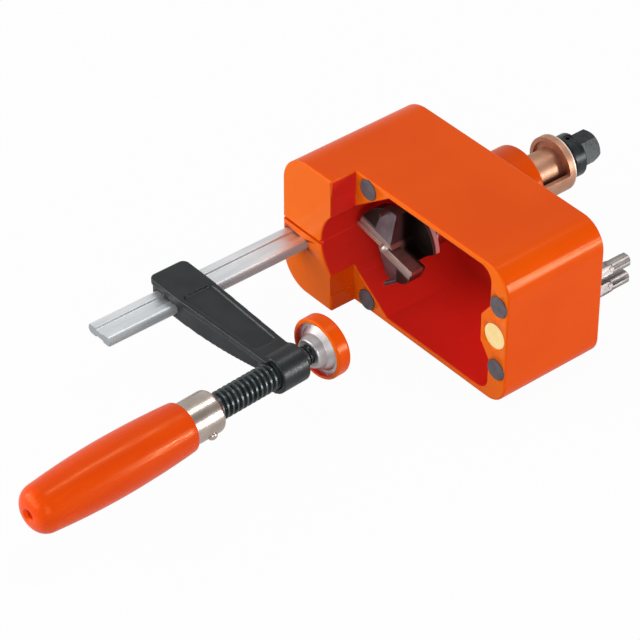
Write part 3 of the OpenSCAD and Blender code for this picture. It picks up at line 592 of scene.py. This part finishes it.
def make_housing():
    """The CAD housing with its outer edges and its mouth rounded as a moulding's are."""
    skin = 0.02
    whole = grown(body_outline(BODY_LEFT, BODY_RIGHT, (15, 10, 12.5, 16)), skin)
    block = grown(body_outline(BODY_LEFT, STOP_X, (15, 0.7, 0.7, 16)), skin)
    outer = lofted(
        "housing_outer", whole,
        round_levels(-skin, EDGE_R, 1) + list(reversed(round_levels(BODY_D + skin, EDGE_R, -1))),
    )
    stop = lofted("housing_stop", block, round_levels(BLOCK_FRONT - skin, EDGE_R, 1) + [(EDGE_R + 2, 0)])
    boss = turned("housing_boss", [
        (0, 40), (BOSS_R + skin, 40), (BOSS_R + skin, BOSS_END + skin, 1.6), (0, BOSS_END + skin),
    ])
    join_shape(outer, stop, "UNION")
    join_shape(outer, boss, "UNION")
    made = merged_copy("housing", "housing_moulding")
    join_shape(made, outer, "INTERSECT")
    mouth = eased([
        (STOP_X, -NOSE_Z), (SLANT_X, -CHAMBER_TOP), (CHAMBER_RIGHT, -CHAMBER_TOP, CHAMBER_R),
        (CHAMBER_RIGHT, -BUMP_ROOT), (BUMP_X, -BUMP_FLAT), (BUMP_X, BUMP_FLAT),
        (CHAMBER_RIGHT, BUMP_ROOT), (CHAMBER_RIGHT, CHAMBER_TOP, CHAMBER_R),
        (SLANT_X, CHAMBER_TOP), (STOP_X, NOSE_Z),
    ], steps=16)
    lip = 0.8
    flare = [
        (lip * (1 - math.cos(a)) - skin, lip * (1 - math.sin(a)))
        for a in [math.pi / 2 * k / 6 for k in range(7)]
    ]
    join_shape(made, lofted("housing_mouth", mouth, [(-0.6, lip)] + flare), "DIFFERENCE")
    nose = turned("housing_nose", [
        (0, BLOCK_FRONT - 1), (NOSE_R + 0.8, BLOCK_FRONT - 1), (NOSE_R + 0.8, BLOCK_FRONT),
        (NOSE_R + 0.25, BLOCK_FRONT + 0.3), (NOSE_R, BLOCK_FRONT + 0.9), (0, BLOCK_FRONT + 0.9),
    ], around=128)
    join_shape(made, nose, "DIFFERENCE")
    easing = 0.55
    for side in (1, -1):
        spot = [
            (STOP_X + dx * easing, side * NOSE_Z + dz * easing)
            for dx, dz in ((-1, 0), (0, -1), (1, 0), (0, 1))
        ]
        join_shape(made, lofted("nose_edge", spot, [(BLOCK_FRONT - 1, 0), (0.4, 0)]), "DIFFERENCE")
    shade(made, 28)
    return dress(made, "frame", ORANGE, "orange_plastic", "housing")


# Clamp

def make_bar():
    """Drawn bar with a shallow groove along each wide face and an eased tip."""
    half_t, flat = BAR_T / 2, (BAR_W - BAR_T) / 2
    groove = [
        (2.9, 0), (2.5, 0.12), (2.2, 0.55), (1.8, 0.74), (0, 0.8),
        (-1.8, 0.74), (-2.2, 0.55), (-2.5, 0.12), (-2.9, 0),
    ]
    outline = []
    for side in (1, -1):
        for k in range(17):
            a = math.pi * (k / 16 - 0.5)
            outline.append((
                BAR_X + side * (flat + half_t * math.cos(a)), BAR_Z + side * half_t * math.sin(a),
            ))
        outline += [(BAR_X + side * x, BAR_Z + side * (half_t - d)) for x, d in groove]
    made = lofted("clamp_bar_drawn", outline, round_levels(BAR_TIP, 0.5, 1) + [(BAR_END, 0)])
    shade(made, 35)
    return dress(made, "frame", DRAWN, "zinc_steel", "clamp_bar")


def make_arm():
    """The cast arm: its edges are as soft as a sand mould leaves them."""
    made = merged_copy("clamp_arm", "clamp_arm_casting")
    left, right, middle = ARM_PANEL
    panel = eased([
        (left, middle - PANEL_LEFT_HALF, 2), (right, middle - PANEL_RIGHT_HALF, 2),
        (right, middle + PANEL_RIGHT_HALF, 2), (left, middle + PANEL_LEFT_HALF, 2),
    ], steps=6)
    join_shape(made, raised("panel", panel, ARM_TOP - PANEL_DEPTH, ARM_TOP + 1), "DIFFERENCE")
    modify(made, "REMESH", mode="VOXEL", voxel_size=0.36 * MM)
    modify(made, "SMOOTH", factor=0.5, iterations=4)
    settle(made)
    shade(made, 60, level=False)
    return dress(made, "arm", CASTING, "black_iron", "clamp_arm")


def thread_tree():
    """A tree that winds a trapezoid ridge along a spiral, with the screw's sizes as inputs."""
    tree = bpy.data.node_groups.new("screw_thread", "GeometryNodeTree")
    face = tree.interface
    face.new_socket("Geometry", in_out="OUTPUT", socket_type="NodeSocketGeometry")
    for name in ("Radius", "Pitch", "Turns", "Ridge height", "Ridge foot", "Ridge top"):
        face.new_socket(name, in_out="INPUT", socket_type="NodeSocketFloat")
    face.new_socket("Steps a turn", in_out="INPUT", socket_type="NodeSocketInt")
    face.new_socket("Material", in_out="INPUT", socket_type="NodeSocketMaterial")
    given = put(tree, "NodeGroupInput").outputs
    length = put(tree, "ShaderNodeMath", {"operation": "MULTIPLY"}, in0=given["Pitch"], in1=given["Turns"])
    spiral = put(
        tree, "GeometryNodeCurveSpiral", Resolution=given["Steps a turn"], Rotations=given["Turns"],
        Start_Radius=given["Radius"], End_Radius=given["Radius"], Height=length.outputs[0],
    )
    upright = put(tree, "GeometryNodeSetCurveNormal", {"mode": "Z_UP"}, Curve=spiral.outputs["Curve"])
    ridge = put(
        tree, "GeometryNodeCurvePrimitiveQuadrilateral", {"mode": "TRAPEZOID"},
        Height=given["Ridge height"], Bottom_Width=given["Ridge foot"], Top_Width=given["Ridge top"],
        Offset=0.0,
    )
    outward = put(
        tree, "GeometryNodeTransform", Geometry=ridge.outputs["Curve"], Rotation=(0, 0, math.radians(90)),
    )
    swept = put(
        tree, "GeometryNodeCurveToMesh",
        Curve=upright.outputs["Curve"], Profile_Curve=outward.outputs["Geometry"], Fill_Caps=True,
    )
    real = put(tree, "GeometryNodeRealizeInstances", Geometry=swept.outputs["Mesh"])
    finished = put(
        tree, "GeometryNodeSetMaterial", Geometry=real.outputs["Geometry"], Material=given["Material"],
    )
    put(tree, "NodeGroupOutput", Geometry=finished.outputs["Geometry"])
    return tree


def grow_from(tree, name, values):
    """A plain mesh object that a tree makes from named values."""
    made = bpy.data.objects.new(name, bpy.data.meshes.new(name))
    bpy.context.scene.collection.objects.link(made)
    change = made.modifiers.new("tree", "NODES")
    change.node_group = tree
    for socket in tree.interface.items_tree:
        if socket.item_type == "SOCKET" and socket.in_out == "INPUT" and socket.name in values:
            change[socket.identifier] = values[socket.name]
    return settle(made)


def make_screw():
    """The clamp screw: a core with its neck, ball and tang, and a real right-hand thread."""
    ball = [
        (BALL_R * math.sin(a), BALL_Y - BALL_R * math.cos(a))
        for a in [math.radians(40 + 10 * k) for k in range(15)]
    ]
    made = turned("clamp_screw_threaded", [
        (0, TANG_END), (TANG_R, TANG_END, 0.8), (TANG_R, -111.6), (ROOT_R, -111.5), (ROOT_R, BOSS_FAR - 0.3),
        (4.3, BOSS_FAR + 0.2), (4.3, RING_BACK - 0.3, 0.5), (3.0, RING_BACK - 0.25), (2.95, BALL_Y - 3.6),
    ] + ball + [(0, BALL_Y + BALL_R)], ON_SCREW)
    turns = (THREAD_END - THREAD_START) / PITCH
    thread = grow_from(thread_tree(), "thread", {
        "Radius": (ROOT_R + 0.5) * MM, "Pitch": PITCH * MM, "Turns": turns, "Ridge height": 1.4 * MM,
        "Ridge foot": 1.7 * MM, "Ridge top": 0.8 * MM, "Steps a turn": 40, "Material": BLACK_PAINTED_LIGHTER,
    })
    upright = Matrix.Translation((0, THREAD_START * MM, 0)) @ Matrix.Rotation(math.radians(-90), 4, "X")
    to_metres = Matrix.Scale(MM, 4)
    thread.data.transform(to_metres @ ON_SCREW @ to_metres.inverted() @ upright)
    work = bmesh.new()
    work.from_mesh(made.data)
    work.from_mesh(thread.data)
    work.to_mesh(made.data)
    work.free()
    bpy.data.objects.remove(thread)
    shade(made, 40, level=False)
    return dress(made, "screw", BLACK_PAINTED_LIGHTER, "black_steel", "clamp_screw")


def handle_radius(at):
    """The handle's radius at a distance behind the ferrule, fullest before the middle."""
    end_r, reach = HANDLE_BUTT_R, HANDLE_SIDE - HANDLE_FULL
    if at < HANDLE_FULL:
        end_r, reach = HANDLE_NECK_R, HANDLE_FULL
    return HANDLE_R - (HANDLE_R - end_r) * ((at - HANDLE_FULL) / reach) ** 2


def make_handle():
    """The turned handle, its ferrule and the rivet that holds them on the screw's tang."""
    belly = [
        (handle_radius(HANDLE_SIDE * k / 48), FERRULE_BACK - HANDLE_SIDE * k / 48)
        for k in range(3, 48)
    ]
    butt = [
        (HANDLE_BUTT_R - BUTT_ROUND * (1 - math.cos(a)), BUTT + BUTT_ROUND * (1 - math.sin(a)))
        for a in [math.radians(7.5 * k) for k in range(1, 12)]
    ]
    wood = turned("handle_beech", [
        (0, FERRULE_BACK + 11.9), (7.95, FERRULE_BACK + 11.9), (7.95, FERRULE_BACK),
        (HANDLE_NECK_R, FERRULE_BACK, 1.9),
    ] + belly + butt + [
        (3.3, BUTT), (2.9, BUTT, 0.3), (HANDLE_HOLE_R, BUTT + 1.0, 0.3), (HANDLE_HOLE_R, BUTT + 3.6, 0.8),
        (0, BUTT + 4.0),
    ], ON_SCREW, around=128)
    shade(wood, 40, level=False)
    dress(wood, "screw", BEECH, "lacquered_wood", "handle")
    sleeve = turned("ferrule_drawn", [
        (FERRULE_BORE, FERRULE_BACK), (FERRULE_R, FERRULE_BACK, 0.35), (FERRULE_R, FERRULE_FRONT, 2.4),
        (FERRULE_EYE, FERRULE_FRONT, 0.3), (FERRULE_EYE, FERRULE_BACK + FERRULE_DEPTH),
        (FERRULE_BORE, FERRULE_BACK + FERRULE_DEPTH),
    ], ON_SCREW, around=128, ring=True, steps=8)
    shade(sleeve, 40)
    dress(sleeve, "screw", NICKEL, "nickel", "ferrule")
    dome = [
        (RIVET_R * math.cos(a), RIVET_HEAD + RIVET_DOME * math.sin(a))
        for a in [math.radians(10 * k) for k in range(9)]
    ]
    out = (
        ON_SCREW @ Matrix.Translation((0, RIVET_AT, 0))
        @ Matrix.Rotation(math.radians(RIVET_ANGLE), 4, "Y") @ Matrix.Rotation(math.radians(-90), 4, "Z")
    )
    rivet = turned("ferrule_rivet", [
        (0, RIVET_FOOT), (RIVET_R, RIVET_FOOT), *dome, (0, RIVET_HEAD + RIVET_DOME),
    ], out, around=48)
    shade(rivet, 40, level=False)
    return dress(rivet, "screw", NICKEL, "nickel", "ferrule_pin")


def make_pad():
    """The swivel pad: a dished plate on the screw's ball, in an orange cap."""
    cap = turned("pad_cap_moulding", [
        (0, CAP_FRONT), (CAP_R, CAP_FRONT, 1.5), (CAP_R, CAP_BACK, 1.0), (CAP_MOUTH_R, CAP_BACK, 0.5),
        (CAP_MOUTH_R, DISC_BACK - 0.02), (CAP_SEAT_R, DISC_BACK), (CAP_SEAT_R, DISC_FRONT), (0, DISC_FRONT),
    ], ON_SCREW, around=128, steps=7)
    shade(cap, 40)
    dress(cap, "pad", CAP_ORANGE, "orange_plastic", "pad_cap")
    plate = turned("pressure_plate_turned", [
        (0, DISC_FRONT), (12.06, DISC_FRONT), (12.06, DISC_BACK + 0.02, 0.2), (9.9, DISC_BACK + 0.1, 0.8),
        (7.6, BALL_Y, 1.2), (6.2, HUB_BACK, 1.4), (4.0, HUB_BACK, 0.25), (4.0, BALL_Y - 2.3),
        (4.6, BALL_Y - 2.3), (4.6, BALL_Y + 4.6), (0, BALL_Y + 4.6),
    ], ON_SCREW, around=128)
    shade(plate, 40)
    dress(plate, "pad", ZINC, "zinc_steel", "pressure_plate")
    collar = turned("neck_ring_turned", [
        (3.05, RING_BACK), (4.3, RING_BACK, 0.3), (4.3, RING_FRONT, 0.3), (3.05, RING_FRONT),
    ], ON_SCREW, ring=True)
    shade(collar, 40)
    return dress(collar, "screw_carrier", BLACK, "bare_steel", "neck_ring")


# Pieces that keep their CAD form

def make_fittings():
    """Nodes whose form is right: joined, with their edges broken, and finished."""
    for node, body, material, slot, edge in (
        ("sighting_disc", "frame", CREAM, "cream_plastic", 0.3),
        ("grip_pads", "frame", RUBBER, "grey_rubber", 0.35),
        ("bar_pins", "frame", GROUND, "bare_steel", 0.2),
        ("feed_sleeve", "sleeve", BRONZE, "bronze", 0.4),
        ("retaining_ring", "sleeve", BLACK, "black_steel", 0.15),
        ("spindle", "spindle", BRIGHT, "bare_steel", 0.2),
        ("front_washer", "spindle", BRIGHT, "bare_steel", 0.15),
        ("rear_washer", "spindle", BRIGHT, "bare_steel", 0.15),
        ("hex_drive", "spindle", BLACK, "black_steel", 0.45),
        ("drive_set_screw", "spindle", BLACK, "black_steel", 0.1),
        ("bit_set_screw", "spindle", BLACK, "black_steel", 0.1),
        ("bit_body", "spindle", TOOL, "tool_steel", 0.25),
        ("bit_cutters", "spindle", CUTTER, "bare_steel", 0.12),
        ("centre_point", "spindle", CUTTER, "bare_steel", 0.1),
        ("spare_bit_upper", "upper_spare", SATIN, "bare_steel", 0.15),
        ("spare_bit_lower", "lower_spare", SATIN, "bare_steel", 0.15),
    ):
        made = merged_copy(node)
        work = bmesh.new()
        work.from_mesh(made.data)
        bmesh.ops.dissolve_limit(
            work, angle_limit=math.radians(1), verts=work.verts, edges=work.edges, delimit={"NORMAL"},
        )
        work.to_mesh(made.data)
        work.free()
        modify(made, "BEVEL", width=edge * MM, segments=2, limit_method="ANGLE", angle_limit=math.radians(30))
        settle(made)
        shade(made, 40)
        dress(made, body, material, slot, node)


# Stage, in metres and watts

FLOOR_GAP = 0.0004
# Share of plain white that the camera, and a shiny surface, see in the floor
FLOOR_SEEN, FLOOR_MIRRORED = 0.97, 0.4
# The studio's level, what shiny surfaces see on top of it, and how it changes towards +X
STUDIO, STUDIO_MIRRORED, STUDIO_SLOPE = 0.43, 0.1, -0.28
LAMP_AIM = Vector((0.01, -0.02, 0))
LAMPS = (
    ("front_softbox", (-0.6, -1.3, 0.42), (1.8, 0.8), 21.0),
    ("fill_softbox", (1.2, -0.75, 0.45), (0.7, 0.7), 6.0),
    ("rear_strip", (0.02, 0.38, 1.23), (0.12, 0.6), 4.0),
    ("right_strip", (0.98, 0.62, 0.13), (0.14, 0.3), 6.4),
)
# Place, turn about Z, angle down and roll of the photograph's camera, in degrees
CAMERA_AT, CAMERA_TURN, CAMERA_DOWN, CAMERA_ROLL = (0.8035, -0.6969, 0.8061), 50.325, 38.358, 0.07


def straight_rays(tree, path):
    """1 for rays that come straight or through glass from the camera."""
    return put(
        tree, "ShaderNodeMath", {"operation": "MAXIMUM"},
        in0=path["Is Camera Ray"], in1=path["Is Transmission Ray"],
    ).outputs[0]


def make_floor():
    """A plain pale floor that keeps the object's shadow."""
    low = cad_box[0].z - FLOOR_GAP
    bpy.ops.mesh.primitive_plane_add(size=12)
    floor = bpy.context.object
    floor.name = "floor"
    floor.data.transform(Matrix.Translation((0, 0, low)))
    material = bpy.data.materials.new("matt_white_floor")
    material.use_nodes = True
    tree = material.node_tree
    tree.nodes.clear()
    path = put(tree, "ShaderNodeLightPath").outputs
    mirrored = put(
        tree, "ShaderNodeMath", {"operation": "MULTIPLY"}, in0=path["Is Glossy Ray"], in1=FLOOR_MIRRORED,
    )
    share = put(
        tree, "ShaderNodeMath", {"operation": "MULTIPLY_ADD"},
        in0=straight_rays(tree, path), in1=FLOOR_SEEN, in2=mirrored.outputs[0],
    )
    matt = put(tree, "ShaderNodeBsdfDiffuse", Color=colour("C4C4C4"))
    white = put(tree, "ShaderNodeEmission", Color=(1, 1, 1, 1), Strength=1.0)
    mixed = put(
        tree, "ShaderNodeMixShader", in0=share.outputs[0], in1=matt.outputs[0], in2=white.outputs[0],
    )
    put(tree, "ShaderNodeOutputMaterial", Surface=mixed.outputs[0])
    floor.data.materials.append(material)


def make_light():
    """An even studio with two soft lamps, and two strips for the lines of light on round edges."""
    world = bpy.data.worlds.new("studio")
    world.use_nodes = True
    tree = world.node_tree
    path = put(tree, "ShaderNodeLightPath").outputs
    way = put(tree, "ShaderNodeSeparateXYZ", Vector=put(tree, "ShaderNodeTexCoord").outputs["Generated"])
    level = put(
        tree, "ShaderNodeMath", {"operation": "MULTIPLY_ADD"},
        in0=path["Is Glossy Ray"], in1=STUDIO_MIRRORED, in2=STUDIO,
    )
    level = put(
        tree, "ShaderNodeMath", {"operation": "MULTIPLY_ADD"},
        in0=way.outputs["X"], in1=STUDIO_SLOPE, in2=level.outputs[0],
    )
    level = put(
        tree, "ShaderNodeMix", {"data_type": "FLOAT"},
        in0=straight_rays(tree, path), in2=level.outputs[0], in3=1.0,
    )
    back = tree.nodes["Background"]
    back.inputs["Color"].default_value = (1, 1, 1, 1)
    tree.links.new(level.outputs[0], back.inputs["Strength"])
    bpy.context.scene.world = world
    for name, at, size, power in LAMPS:
        data = bpy.data.lights.new(name, "AREA")
        data.shape = "RECTANGLE"
        data.size, data.size_y = size
        data.energy = power
        lamp = bpy.data.objects.new(name, data)
        lamp.location = at
        lamp.rotation_euler = (LAMP_AIM - Vector(at)).to_track_quat("-Z", "Y").to_euler()
        bpy.context.scene.collection.objects.link(lamp)


def make_camera():
    """The camera at the photograph's viewing angle."""
    data = bpy.data.cameras.new("camera")
    data.lens, data.sensor_width = 183.16, 36.0
    data.clip_start, data.clip_end = 0.05, 40.0
    camera = bpy.data.objects.new("camera", data)
    turn = (
        Matrix.Rotation(math.radians(CAMERA_TURN), 4, "Z")
        @ Matrix.Rotation(math.radians(90 - CAMERA_DOWN), 4, "X")
        @ Matrix.Rotation(math.radians(CAMERA_ROLL), 4, "Z")
    )
    camera.matrix_world = Matrix.Translation(CAMERA_AT) @ turn
    bpy.context.scene.collection.objects.link(camera)
    bpy.context.scene.camera = camera
    bpy.context.scene.view_settings.view_transform = "Standard"


make_floor()
make_light()
make_camera()
make_housing()
make_bar()
make_arm()
make_screw()
make_handle()
make_pad()
make_fittings()
